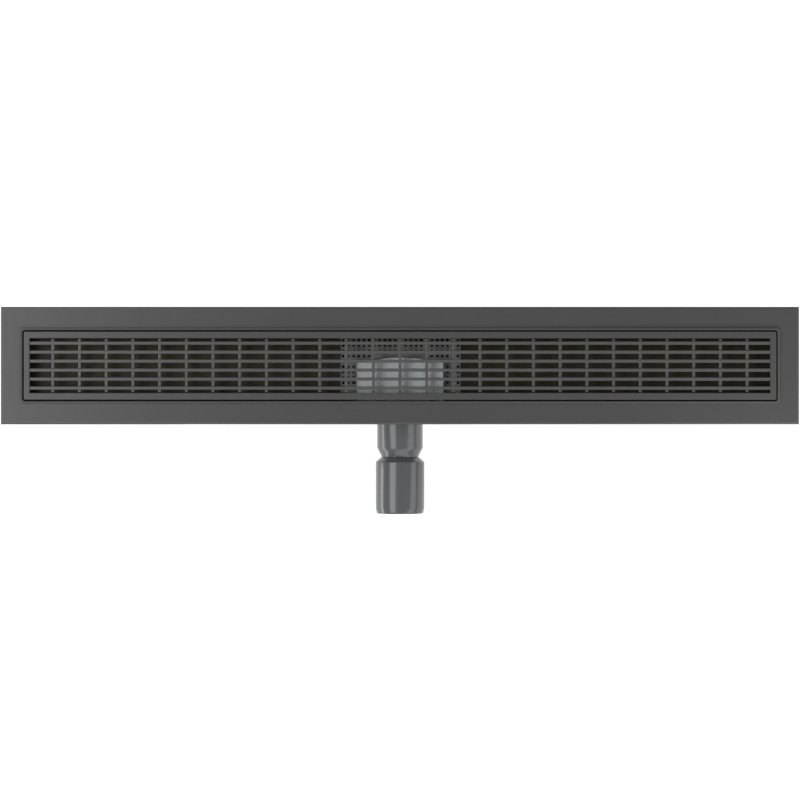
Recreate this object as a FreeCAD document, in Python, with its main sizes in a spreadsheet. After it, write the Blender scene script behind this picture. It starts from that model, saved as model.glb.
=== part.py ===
import FreeCAD, Part
import os
import re

import Sketcher
from FreeCAD import Vector

# A linear shower channel: a folded sheet channel with a slatted drop-in grate, a perforated
# strainer plate, a lift-out trap insert, the trap housing under it with its DN 50 outlet, and
# four levelling feet. The origin is the middle of the rim's top plane, the finished floor's
# level. X runs along the channel, the outlet leaves towards -Y, and Z is up.

SIZES = [
    # channel: flange, rim bead, trough
    ("channel_length", 800.0, "flange, end to end"),
    ("channel_width", 118.0, "flange, front to back"),
    ("sheet_wall", 1.2, "channel sheet"),
    ("bead_height", 2.0, "rim above the flange"),
    ("bead_round", 1.1, "rounding of the rim's top edges"),
    ("bead_corner", 3.0, "rim corner in plan"),
    ("skirt_height", 5.0, "turned-down edge of the flange"),
    ("skirt_bend", 2.2, "outside bend of that edge"),
    ("flange_end", 19.6, "flange beyond the rim at each end"),
    ("trough_width", 70.8, "inside the trough"),
    ("trough_corner", 2.5, "upright corners inside the trough"),
    ("trough_bend", 2.0, "inside bend along the floor"),
    ("depth_at_ends", 18.5, "rim to floor at the ends"),
    ("depth_at_middle", 22.0, "rim to floor at the sump"),
    ("flat_floor", 156.0, "level stretch of floor round the sump"),
    ("sump_length", 123.0, "opening in the floor"),
    ("sump_width", 60.0, "opening in the floor"),
    ("sump_corner", 3.0, "corner of that opening"),
    # grate: frame, slats, cross bars
    ("grate_clearance", 1.25, "grate to trough wall"),
    ("grate_height", 8.0, "frame height"),
    ("grate_corner", 1.5, "frame corner in plan"),
    ("grate_round", 0.7, "rounding of the frame's top edges"),
    ("side_band", 6.8, "long side of the frame, seen from above"),
    ("end_band", 6.0, "short side of the frame, seen from above"),
    ("grate_sheet", 1.5, "frame sheet"),
    ("leg_width", 12.0, "folded leg of the frame"),
    ("leg_station", 112.0, "inner legs from the middle"),
    ("leg_inset", 36.75, "outer legs from the frame's ends"),
    ("slat_pitch", 9.0, "slat to slat"),
    ("slat_width", 3.2, "slat seen from above"),
    ("slat_height", 7.0, "slat height"),
    ("slat_drop", 0.5, "slats below the frame's top"),
    ("bar_pitch", 26.74, "bar to bar"),
    ("bar_width", 2.8, "bar seen from above"),
    ("bar_height", 5.5, "bar height"),
    ("bar_cover", 1.2, "slat metal left above a bar"),
    ("weld_gap", 0.05, "fitting gap at welded ends and notches"),
    # strainer plate
    ("strainer_length", 121.2, "plate along X"),
    ("strainer_width", 58.6, "plate along Y"),
    ("strainer_corner", 1.5, "plate corner"),
    ("strainer_sheet", 1.2, "plate thickness"),
    ("strainer_shift", 0.6, "loose plate lies against one end of its seat"),
    ("hole_bore", 2.6, "strainer hole"),
    ("hole_pitch_long", 5.27, "hole to hole along X"),
    ("hole_pitch_cross", 5.36, "hole to hole along Y"),
    ("hole_margin", 1.0, "least metal from a hole to an edge"),
    ("insert_gap", 0.5, "strainer cut-out to trap insert"),
    # trap insert
    ("insert_length", 87.5, "insert along X"),
    ("insert_back", 5.0, "insert's back face from the middle"),
    ("insert_play", 0.6, "insert's front face to the housing's wall"),
    ("insert_foot_round", 2.5, "rounding along the insert's front foot"),
    ("insert_top", 14.0, "rim to the insert's top"),
    ("insert_wall", 2.2, "insert wall"),
    ("insert_round", 0.8, "rounding of the insert's top edges"),
    ("cover_front", 35.0, "front edge of the insert's cover from the middle"),
    ("cover_height", 5.0, "height of the cover's front nose"),
    ("lip_width", 45.9, "finger lip along X"),
    ("lip_reach", 1.9, "finger lip's straight side"),
    ("lip_bow", 1.5, "extra reach in the middle of the lip"),
    ("lip_height", 2.6, "finger lip thickness"),
    ("weir_back", 6.0, "weir's back face in front of the middle"),
    ("weir_wall", 2.0, "weir thickness"),
    ("weir_top", 34.0, "rim to the weir's crest, the water level"),
    ("inlet_height", 9.0, "opening under the insert's back wall"),
    ("nozzle_outside", 38.0, "insert nozzle"),
    ("nozzle_bore", 33.0, "inside the nozzle"),
    ("nozzle_length", 10.0, "nozzle beyond the insert's front face"),
    ("ring_section", 2.0, "seal ring on the nozzle"),
    # trap housing and outlet
    ("gasket_thickness", 2.0, "gasket under the floor"),
    ("gasket_window_gap", 0.6, "gasket window beyond the sump opening"),
    ("rim_length", 152.0, "clamping rim of the housing"),
    ("rim_width", 72.4, "clamping rim of the housing"),
    ("rim_corner", 6.0, "clamping rim corner"),
    ("rim_thickness", 4.0, "clamping rim"),
    ("housing_wall", 3.0, "housing wall"),
    ("cavity_length", 119.2, "inside the housing"),
    ("cavity_width", 56.4, "inside the housing"),
    ("cavity_corner", 5.0, "corner inside the housing"),
    ("cavity_round", 2.5, "rounding round the housing's floor"),
    ("cavity_depth", 71.0, "rim to the housing's floor"),
    ("rib_reach", 10.0, "ribs under the clamping rim"),
    ("rib_drop", 24.0, "ribs down the end walls"),
    ("rib_thickness", 2.5, "ribs"),
    ("rib_spacing", 22.0, "rib to rib"),
    ("outlet_axis", 49.0, "rim to the outlet's axis"),
    ("tube_outside", 46.9, "outlet tube"),
    ("tube_bore", 41.0, "inside the outlet tube"),
    ("cone_start", 83.1, "outlet tube's end from the middle"),
    ("cone_length", 9.3, "taper down to the neck"),
    ("neck_outside", 37.5, "neck"),
    ("neck_bore", 31.5, "inside the neck"),
    ("neck_length", 25.0, "neck inside the spigot"),
    ("spigot_outside", 50.0, "DN 50 spigot"),
    ("spigot_bore", 44.0, "inside the spigot"),
    ("shoulder_length", 5.1, "slope from the neck to the spigot's full width"),
    ("spigot_length", 57.6, "spigot, end to end"),
    ("spigot_lip", 0.4, "lip at the socket's mouth"),
    ("spigot_chamfer", 1.2, "chamfer depth at the spigot's end"),
    ("chamfer_length", 5.3, "chamfer length at the spigot's end"),
    ("socket_clearance", 0.1, "neck in the spigot's socket, on the radius"),
    ("seal_length", 7.0, "seal ring in the spigot"),
    ("seal_depth", 3.6, "groove depth of that ring"),
    ("seal_gap", 0.1, "seal rings to their walls"),
    # studs and nuts that clamp the trap
    ("stud_thread", 5.0, "weld studs"),
    ("stud_length", 13.0, "weld studs below the floor"),
    ("stud_hole", 5.6, "holes for the studs"),
    ("stud_spacing_long", 138.0, "studs along X"),
    ("stud_spacing_cross", 40.0, "studs along Y"),
    ("nut_across", 8.0, "flange nut across flats"),
    ("nut_height", 4.7, "flange nut"),
    ("nut_collar", 11.4, "flange nut's collar"),
    ("nut_collar_height", 1.2, "flange nut's collar"),
    # levelling feet
    ("bracket_inset", 100.0, "brackets from the flange's ends"),
    ("bracket_width", 25.0, "bracket along X"),
    ("bracket_length", 113.0, "bracket along Y"),
    ("bracket_sheet", 3.0, "bracket strap"),
    ("foot_spacing", 92.0, "foot to foot across the channel"),
    ("collar_outside", 14.0, "threaded collar under the bracket"),
    ("collar_height", 9.0, "threaded collar under the bracket"),
    ("foot_thread", 8.0, "foot stud"),
    ("thread_clearance", 0.05, "foot stud in its collar, on the radius"),
    ("foot_stud_top", 8.0, "rim to the foot stud's top"),
    ("foot_stud_length", 70.0, "foot stud"),
    ("stud_chamfer", 1.0, "chamfers on studs"),
    ("pad_outside", 24.0, "foot pad"),
    ("pad_neck", 14.0, "foot pad's boss"),
    ("pad_flange", 3.0, "foot pad's rim height"),
    ("pad_bevel", 1.0, "bevel round the foot pad's rim"),
    ("pad_height", 8.0, "foot pad"),
    ("lock_nut_across", 13.0, "lock nut across flats"),
    ("lock_nut_height", 6.5, "lock nut"),
]
ALIASES = {name for name, _, _ in SIZES}

# Levels and distances that follow from the sizes, as formulas on their names.
FLANGE_TOP = "-bead_height"
FLOOR_TOP = "-depth_at_middle"
FLOOR_UNDERSIDE = "(-depth_at_middle - sheet_wall)"
RIM_TOP = "(-depth_at_middle - sheet_wall - gasket_thickness)"
RIM_UNDERSIDE = "(-depth_at_middle - sheet_wall - gasket_thickness - rim_thickness)"
TROUGH_LENGTH = "(channel_length - 2 * flange_end - 4 * sheet_wall)"
GRATE_LENGTH = f"({TROUGH_LENGTH} - 2 * grate_clearance)"
GRATE_WIDTH = "(trough_width - 2 * grate_clearance)"
OPENING_LENGTH = f"({GRATE_LENGTH} - 2 * end_band)"
OPENING_WIDTH = f"({GRATE_WIDTH} - 2 * side_band)"
SLAT_COUNT = f"(2 * floor(({OPENING_WIDTH} / 2 - slat_width) / slat_pitch + 0.5))"
BAR_COUNT = f"(2 * floor(({OPENING_LENGTH} / 2 - bar_width) / bar_pitch) + 1)"
INSERT_FRONT = "(cavity_width / 2 - insert_play)"
NECK_START = "(cone_start + cone_length)"
FOOT_BASE = "(-foot_stud_top - foot_stud_length - pad_height / 2)"

document = FreeCAD.newDocument("channel_drain")
sizes = document.addObject("Spreadsheet::Sheet", "Sizes")
for row, (alias, size, note) in enumerate(SIZES, start=1):
    sizes.set(f"A{row}", note)
    sizes.set(f"B{row}", str(size))
    sizes.setAlias(f"B{row}", alias)
document.recompute()

nodes = []


# ---- formulas, bodies and sketches -------------------------------------------------------


def formula(text):
    """Write a formula on size names as FreeCAD reads it."""
    def named(word):
        return f"Sizes.{word[0]}" if word[0] in ALIASES else word[0]
    return re.sub(r"[a-z_]+", named, text)


def number(text):
    """The present value of a formula."""
    return float(sizes.evalExpression(formula(text)))


def bind(thing, sizes_of_thing):
    """Bind properties, or numbered constraints, to formulas."""
    for name, text in sizes_of_thing.items():
        thing.setExpression(name, formula(text))


def keep(thing, node):
    """Count a finished object as one sub-part of the drain."""
    thing.Label = node
    nodes.append(thing)
    return thing


def place(thing, x=None, y=None, z=None):
    """Bind an object's place."""
    for axis, text in (("x", x), ("y", y), ("z", z)):
        if text is not None:
            bind(thing, {f"Placement.Base.{axis}": text})


def new_body(node):
    return keep(document.addObject("PartDesign::Body", node), node)


def new_sketch(body, role, name, rise=None, slide=None):
    """A sketch on one of the body's planes; rise lifts it off the plane, slide moves it up in it."""
    plane = next(item for item in body.Origin.OriginFeatures if item.Role == role)
    sketch = body.newObject("Sketcher::SketchObject", name)
    sketch.AttachmentSupport = [(plane, "")]
    sketch.MapMode = "FlatFace"
    if rise is not None:
        bind(sketch, {"AttachmentOffset.Base.z": rise})
    if slide is not None:
        bind(sketch, {"AttachmentOffset.Base.y": slide})
    return sketch


def fix_point(sketch, geometry, end, x, y):
    """Tie a point of the sketch to formulas for its two distances from the sketch's origin."""
    for kind, text in (("DistanceX", x), ("DistanceY", y)):
        index = sketch.addConstraint(Sketcher.Constraint(kind, -1, 1, geometry, end, number(text)))
        bind(sketch, {f"Constraints[{index}]": text})


def outline(sketch, corners):
    """A closed outline of straight lines through corners given as pairs of formulas."""
    first = sketch.GeometryCount
    points = [Vector(number(x), number(y), 0) for x, y in corners]
    count = len(points)
    sketch.addGeometry([Part.LineSegment(points[i], points[(i + 1) % count]) for i in range(count)], False)
    for i in range(count):
        sketch.addConstraint(Sketcher.Constraint("Coincident", first + i, 2, first + (i + 1) % count, 1))
    for i, (x, y) in enumerate(corners):
        fix_point(sketch, first + i, 1, x, y)


def rectangle(sketch, length, width, x="0", y="0"):
    """A rectangle round a middle point."""
    left, right = f"{x} - ({length}) / 2", f"{x} + ({length}) / 2"
    front, back = f"{y} - ({width}) / 2", f"{y} + ({width}) / 2"
    outline(sketch, [(left, front), (right, front), (right, back), (left, back)])


def rounded_rectangle(sketch, length, width, corner):
    """A rectangle round the sketch's origin with arcs at its corners."""
    first = sketch.GeometryCount
    across, up, radius = number(length) / 2, number(width) / 2, number(corner)
    turns = [(across, -up, 3), (across, up, 0), (-across, up, 1), (-across, -up, 2)]
    for x, y, quarter in turns:
        centre = Vector(x - radius * (1 if x > 0 else -1), y - radius * (1 if y > 0 else -1), 0)
        start = quarter * 1.5707963267948966
        circle_line = Part.Circle(centre, Vector(0, 0, 1), radius)
        sketch.addGeometry(Part.ArcOfCircle(circle_line, start, start + 1.5707963267948966), False)
    for i in range(4):
        start_point = sketch.getPoint(first + i, 2)
        end_point = sketch.getPoint(first + (i + 1) % 4, 1)
        side = sketch.addGeometry(Part.LineSegment(start_point, end_point), False)
        sketch.addConstraint(Sketcher.Constraint("Tangent", first + i, 2, side, 1))
        sketch.addConstraint(Sketcher.Constraint("Tangent", side, 2, first + (i + 1) % 4, 1))
        sketch.addConstraint(Sketcher.Constraint("Vertical" if i % 2 == 0 else "Horizontal", side))
    for i in range(1, 4):
        sketch.addConstraint(Sketcher.Constraint("Equal", first, first + i))
    radius_index = sketch.addConstraint(Sketcher.Constraint("Radius", first, radius))
    bind(sketch, {f"Constraints[{radius_index}]": corner})
    fix_point(sketch, first, 3, f"({length}) / 2 - ({corner})", f"-(({width}) / 2 - ({corner}))")
    fix_point(sketch, first + 2, 3, f"-(({length}) / 2 - ({corner}))", f"({width}) / 2 - ({corner})")


def circle(sketch, diameter, x="0", y="0"):
    """A circle with its middle at a pair of formulas."""
    centre = Vector(number(x), number(y), 0)
    index = sketch.addGeometry(Part.Circle(centre, Vector(0, 0, 1), number(diameter) / 2), False)
    size = sketch.addConstraint(Sketcher.Constraint("Diameter", index, number(diameter)))
    bind(sketch, {f"Constraints[{size}]": diameter})
    fix_point(sketch, index, 3, x, y)


def octagon(sketch, across, x, y):
    """A regular eight-sided outline, a small round hole with few faces."""
    far, short = f"({across}) / 2", f"({across}) / 2 * tan(22.5 deg)"
    turns = [(far, short), (short, far), (f"-{short}", far), (f"-{far}", short),
             (f"-{far}", f"-{short}"), (f"-{short}", f"-{far}"), (short, f"-{far}"), (far, f"-{short}")]
    outline(sketch, [(f"{x} + {along}", f"{y} + {up}") for along, up in turns])


def bowed_tab(sketch, half_width, root, side, bow):
    """A tab about the sketch's upright axis with straight sides and a bowed outer edge."""
    first = sketch.GeometryCount
    across, low, high, rise = number(half_width), number(root), number(side), number(bow)
    corners = [Vector(x, y, 0) for x, y in ((-across, high), (-across, low), (across, low), (across, high))]
    for start, end in zip(corners, corners[1:]):
        sketch.addGeometry(Part.LineSegment(start, end), False)
    sketch.addGeometry(Part.Arc(corners[3], Vector(0, high + rise, 0), corners[0]), False)
    for i in range(4):
        sketch.addConstraint(Sketcher.Constraint("Coincident", first + i, 2, first + (i + 1) % 4, 1))
    left = f"-({half_width})"
    ends = [(0, 1, left, side), (1, 1, left, root), (2, 1, half_width, root), (2, 2, half_width, side)]
    for line, end, x, y in ends:
        fix_point(sketch, first + line, end, x, y)
    radius = f"(({half_width}) ^ 2 + ({bow}) ^ 2) / (2 * ({bow}))"
    index = sketch.addConstraint(Sketcher.Constraint("Radius", first + 3, number(radius)))
    bind(sketch, {f"Constraints[{index}]": radius})


# ---- features ----------------------------------------------------------------------------


def pad(body, sketch, name, length, up=False, symmetric=False):
    """Add the sketch's shape: downwards, upwards, or to both sides of the sketch."""
    feature = body.newObject("PartDesign::Pad", name)
    feature.Profile = sketch
    feature.Reversed = not up and not symmetric
    if symmetric:
        feature.SideType = "Symmetric"
    bind(feature, {"Length": length})
    document.recompute()
    return feature


def pocket(body, sketch, name, length, up=False, symmetric=False):
    """Take the sketch's shape away, and make sure that something was taken."""
    volume_before = body.Tip.Shape.Volume
    feature = body.newObject("PartDesign::Pocket", name)
    feature.Profile = sketch
    feature.Reversed = up
    if symmetric:
        feature.SideType = "Symmetric"
    bind(feature, {"Length": length})
    document.recompute()
    if not feature.Shape.Volume < volume_before - 0.01:
        raise RuntimeError(f"{body.Label}: {name} cuts nothing")
    return feature


def turn(body, sketch, name, kind="PartDesign::Revolution"):
    """Revolve, or groove, a half section about the sketch's level axis."""
    feature = body.newObject(kind, name)
    feature.Profile = sketch
    feature.ReferenceAxis = (sketch, ["H_Axis"])
    feature.Angle = 360
    document.recompute()
    return feature


def edges_where(shape, test):
    """Names of the edges whose box, as (low corner, high corner), passes a test."""
    names = []
    for index, edge in enumerate(shape.Edges, start=1):
        box = edge.BoundBox
        low = Vector(box.XMin, box.YMin, box.ZMin)
        high = Vector(box.XMax, box.YMax, box.ZMax)
        if test(low, high):
            names.append(f"Edge{index}")
    return names


def dress_edges(body, kind, name, property_name, size, test):
    """Dress up the edges of the body so far that pass a test."""
    base = body.Tip
    names = edges_where(base.Shape, test)
    if not names:
        raise RuntimeError(f"{body.Label}: {name} finds no edge")
    feature = body.newObject(kind, name)
    feature.Base = (base, names)
    bind(feature, {property_name: size})
    document.recompute()
    return feature


def round_edges(body, name, radius, test):
    return dress_edges(body, "PartDesign::Fillet", name, "Radius", radius, test)


def bevel_edges(body, name, size, test):
    return dress_edges(body, "PartDesign::Chamfer", name, "Size", size, test)


def near(first, second):
    return abs(first - second) < 0.02


def at_level(z):
    """A test for edges that lie in one level plane."""
    level = number(z)
    return lambda low, high: near(low.z, level) and near(high.z, level)


def upright_at(x, y):
    """A test for upright edges at the four corners of a rectangle."""
    across, along = number(x), number(y)
    return lambda low, high: (
        high.z - low.z > 0.5 and near(low.x, high.x) and near(low.y, high.y)
        and near(abs(low.x), across) and near(abs(low.y), along)
    )


def open_top(body, name, wall, z):
    """Hollow the body out to a wall's thickness, open at its top face."""
    base = body.Tip
    level = number(z)
    faces = [f"Face{index}" for index, face in enumerate(base.Shape.Faces, start=1)
             if near(face.BoundBox.ZMin, level) and near(face.BoundBox.ZMax, level)]
    feature = body.newObject("PartDesign::Thickness", name)
    feature.Base = (base, faces)
    feature.Reversed = True
    bind(feature, {"Value": wall})
    document.recompute()
    return feature


def repeat(body, feature, sketch, name, count, length, cross_count=None, cross_length=None):
    """A straight pattern of a feature along X, and across in Y where that is asked for."""
    pattern = body.newObject("PartDesign::LinearPattern", name)
    pattern.Originals = [feature]
    pattern.Direction = (sketch, ["H_Axis"])
    bind(pattern, {"Length": length, "Occurrences": count})
    if cross_count is not None:
        pattern.Direction2 = (sketch, ["V_Axis"])
        bind(pattern, {"Length2": cross_length, "Occurrences2": cross_count})
    body.Tip = pattern
    document.recompute()
    return pattern


# ---- channel -----------------------------------------------------------------------------


def floor_depth(distance):
    """Rim to the trough's floor at a distance from the middle, on the sloping stretch."""
    slope = f"(depth_at_middle - depth_at_ends) / ({TROUGH_LENGTH} / 2 - flat_floor / 2)"
    return f"(depth_at_ends + ({TROUGH_LENGTH} / 2 - ({distance})) * {slope})"


def make_channel_body():
    """One folded sheet: trough with a falling floor, hemmed rim, flange and turned-down edge."""
    body = new_body("channel_body")
    profile = new_sketch(body, "XZ_Plane", "trough_profile")
    end, level = f"({TROUGH_LENGTH} / 2 + sheet_wall)", "flat_floor / 2"
    shallow, deep = "-depth_at_ends - sheet_wall", "-depth_at_middle - sheet_wall"
    outline(profile, [
        (f"-{end}", "0"), (f"-{end}", shallow), (f"-{level}", deep),
        (level, deep), (end, shallow), (end, "0"),
    ])
    pad(body, profile, "trough", "trough_width + 2 * sheet_wall", symmetric=True)
    round_edges(body, "trough_corners", "trough_corner + sheet_wall",
                upright_at(end, "trough_width / 2 + sheet_wall"))
    lowest, crease = number(shallow), number(level)
    round_edges(body, "trough_bends", "trough_bend + sheet_wall", lambda low, high: (
        high.z < lowest + 0.02 and not (near(low.x, high.x) and near(abs(low.x), crease))))
    open_top(body, "trough_shell", "sheet_wall", "0")

    inner = (f"{TROUGH_LENGTH} + sheet_wall", "trough_width + sheet_wall", "trough_corner + sheet_wall / 2")
    hem = new_sketch(body, "XY_Plane", "hem_outline")
    rounded_rectangle(hem, f"{TROUGH_LENGTH} + 4 * sheet_wall", "trough_width + 4 * sheet_wall",
                      "bead_corner")
    rounded_rectangle(hem, *inner)
    pad(body, hem, "hem", "bead_height + sheet_wall")
    round_edges(body, "hem_rounding", "bead_round", at_level("0"))

    flange = new_sketch(body, "XY_Plane", "flange_outline", rise=FLANGE_TOP)
    rectangle(flange, "channel_length", "channel_width")
    rounded_rectangle(flange, *inner)
    pad(body, flange, "flange", "skirt_height")
    round_edges(body, "skirt_outside", "skirt_bend", outer_edges_at(FLANGE_TOP, "channel_width / 2"))
    under = new_sketch(body, "XY_Plane", "flange_inside", rise=f"{FLANGE_TOP} - skirt_height")
    rectangle(under, "channel_length - 2 * sheet_wall", "channel_width - 2 * sheet_wall")
    rounded_rectangle(under, f"{TROUGH_LENGTH} + 2 * sheet_wall", "trough_width + 2 * sheet_wall",
                      "trough_corner + sheet_wall")
    pocket(body, under, "flange_space", "skirt_height - sheet_wall", up=True)
    round_edges(body, "skirt_inside", "skirt_bend - sheet_wall",
                outer_edges_at(f"{FLANGE_TOP} - sheet_wall", "channel_width / 2 - sheet_wall"))

    sump = new_sketch(body, "XY_Plane", "sump_outline", rise=f"{FLOOR_TOP} + sheet_wall")
    rounded_rectangle(sump, "sump_length", "sump_width", "sump_corner")
    pocket(body, sump, "sump_opening", "3 * sheet_wall")


def outer_edges_at(z, half_width):
    """A test for the edges in one level plane that go out to a distance in Y."""
    level, reach = number(z), number(half_width)
    return lambda low, high: near(low.z, level) and near(high.z, level) and near(max(-low.y, high.y), reach)


# ---- grate -------------------------------------------------------------------------------


def make_grate_frame():
    body = new_body("grate_frame")
    band = new_sketch(body, "XY_Plane", "frame_outline")
    rounded_rectangle(band, GRATE_LENGTH, GRATE_WIDTH, "grate_corner")
    rectangle(band, OPENING_LENGTH, OPENING_WIDTH)
    pad(body, band, "frame", "grate_height")
    round_edges(body, "frame_rounding", "grate_round", at_level("0"))
    hollow = new_sketch(body, "XY_Plane", "hollow_outline", rise="-grate_height")
    rectangle(hollow, f"{GRATE_LENGTH} - 2 * grate_sheet", f"{GRATE_WIDTH} - 2 * grate_sheet")
    rectangle(hollow, f"{OPENING_LENGTH} + 2 * grate_sheet", f"{OPENING_WIDTH} + 2 * grate_sheet")
    pocket(body, hollow, "hollow", "grate_height - grate_sheet", up=True)
    for name, station in (("near_legs", "leg_station"), ("far_legs", f"({GRATE_LENGTH} / 2 - leg_inset)")):
        legs = new_sketch(body, "XY_Plane", f"{name}_outline", rise="-grate_height + grate_sheet")
        for side in ("-", ""):
            for end in ("-", ""):
                rectangle(legs, "leg_width", "grate_sheet", f"{end}{station}",
                          f"{side}({OPENING_WIDTH} / 2 + grate_sheet / 2)")
        reach = floor_depth(f"{station} + leg_width / 2")
        pad(body, legs, name, f"{reach} - grate_height + grate_sheet")


def make_slat(index):
    body = new_body(f"slat_{index + 1}")
    side = new_sketch(body, "XZ_Plane", "slat_side")
    length = f"({OPENING_LENGTH} - 2 * weld_gap)"
    rectangle(side, length, "slat_height", "0", "-slat_drop - slat_height / 2")
    pad(body, side, "slat", "slat_width", symmetric=True)
    notch = new_sketch(body, "XZ_Plane", "notch_side")
    half_notch = "(bar_width / 2 + weld_gap)"
    first = f"(-({BAR_COUNT} - 1) / 2 * bar_pitch)"
    ceiling = "-slat_drop - bar_cover + weld_gap"
    beyond = "-slat_drop - slat_height - bar_cover"
    outline(notch, [
        (f"{first} - {half_notch}", beyond), (f"{first} + {half_notch}", beyond),
        (f"{first} + {half_notch}", ceiling), (f"{first} - {half_notch}", ceiling),
    ])
    cut = pocket(body, notch, "notch", "2 * slat_width", symmetric=True)
    repeat(body, cut, notch, "notches", BAR_COUNT, f"({BAR_COUNT} - 1) * bar_pitch")
    place(body, y=f"({index} - ({SLAT_COUNT} - 1) / 2) * slat_pitch")


def make_bar(index):
    bar = keep(document.addObject("Part::Box", f"cross_bar_{index + 1}"), f"cross_bar_{index + 1}")
    width = f"({OPENING_WIDTH} - 2 * weld_gap)"
    bind(bar, {"Length": "bar_width", "Width": width, "Height": "bar_height"})
    place(bar, f"({index} - ({BAR_COUNT} - 1) / 2) * bar_pitch - bar_width / 2", f"-{width} / 2",
          "-slat_drop - bar_cover - bar_height")


# ---- strainer and trap insert ------------------------------------------------------------


def drill(body, name, first_column, columns, rows):
    """A block of strainer holes on the grid whose column 0 and row 0 meet in the plate's middle."""
    if not rows or columns < 1:
        return
    sketch = new_sketch(body, "XY_Plane", f"{name}_outline", rise=f"{RIM_TOP} + strainer_sheet")
    octagon(sketch, "hole_bore", f"{first_column} * hole_pitch_long", f"{rows[0]} * hole_pitch_cross")
    hole = pocket(body, sketch, name, "2 * strainer_sheet")
    repeat(body, hole, sketch, f"{name}_pattern", str(columns), f"{columns - 1} * hole_pitch_long",
           str(len(rows)), f"{len(rows) - 1} * hole_pitch_cross")


def columns_beyond(half_columns, distance):
    """How many of the grid's outer columns, on one side, lie beyond a distance from the middle."""
    pitch, limit = number("hole_pitch_long"), number(distance)
    return sum(1 for column in range(1, half_columns + 1) if column * pitch > limit)


def make_strainer_plate():
    """The plate's holes form one grid that leaves out what the insert and its lip take up."""
    body = new_body("strainer_plate")
    plate = new_sketch(body, "XY_Plane", "plate_outline", rise=RIM_TOP)
    rounded_rectangle(plate, "strainer_length", "strainer_width", "strainer_corner")
    pad(body, plate, "plate", "strainer_sheet", up=True)
    cut = new_sketch(body, "XY_Plane", "cut_out", rise=f"{RIM_TOP} + strainer_sheet")
    left = "-insert_length / 2 - insert_gap - strainer_shift"
    right = "insert_length / 2 + insert_gap - strainer_shift"
    back, beyond = "insert_back + insert_gap", "-strainer_width / 2 - insert_gap"
    outline(cut, [(left, beyond), (right, beyond), (right, back), (left, back)])
    pocket(body, cut, "insert_cut_out", "2 * strainer_sheet")
    lip = new_sketch(body, "XY_Plane", "lip_cut", rise=f"{RIM_TOP} + strainer_sheet")
    bowed_tab(lip, "lip_width / 2 + insert_gap + strainer_shift", "insert_back",
              "insert_back + lip_reach + insert_gap", "lip_bow")
    pocket(body, lip, "lip_cut_out", "2 * strainer_sheet")

    reach = "(hole_bore / 2 + hole_margin)"
    half_columns = int(number(f"(strainer_length / 2 - {reach}) / hole_pitch_long"))
    half_rows = int(number(f"(strainer_width / 2 - {reach}) / hole_pitch_cross"))
    beside_insert = columns_beyond(half_columns, f"insert_length / 2 + insert_gap + strainer_shift + {reach}")
    beside_lip = columns_beyond(half_columns, f"lip_width / 2 + insert_gap + strainer_shift + {reach}")
    insert_end = number(f"insert_back + insert_gap + {reach}")
    lip_end = number(f"insert_back + lip_reach + lip_bow + insert_gap + {reach}")
    pitch = number("hole_pitch_cross")
    insert_rows = [row for row in range(-half_rows, half_rows + 1) if row * pitch < insert_end]
    lip_rows = [row for row in range(-half_rows, half_rows + 1) if insert_end <= row * pitch < lip_end]
    back_rows = [row for row in range(-half_rows, half_rows + 1) if row * pitch >= lip_end]
    for name, rows, beside in (("front", insert_rows, beside_insert), ("lip", lip_rows, beside_lip)):
        drill(body, f"{name}_left_holes", -half_columns, beside, rows)
        drill(body, f"{name}_right_holes", half_columns - beside + 1, beside, rows)
    drill(body, "back_holes", -half_columns, 2 * half_columns + 1, back_rows)
    place(body, x="strainer_shift")


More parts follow.
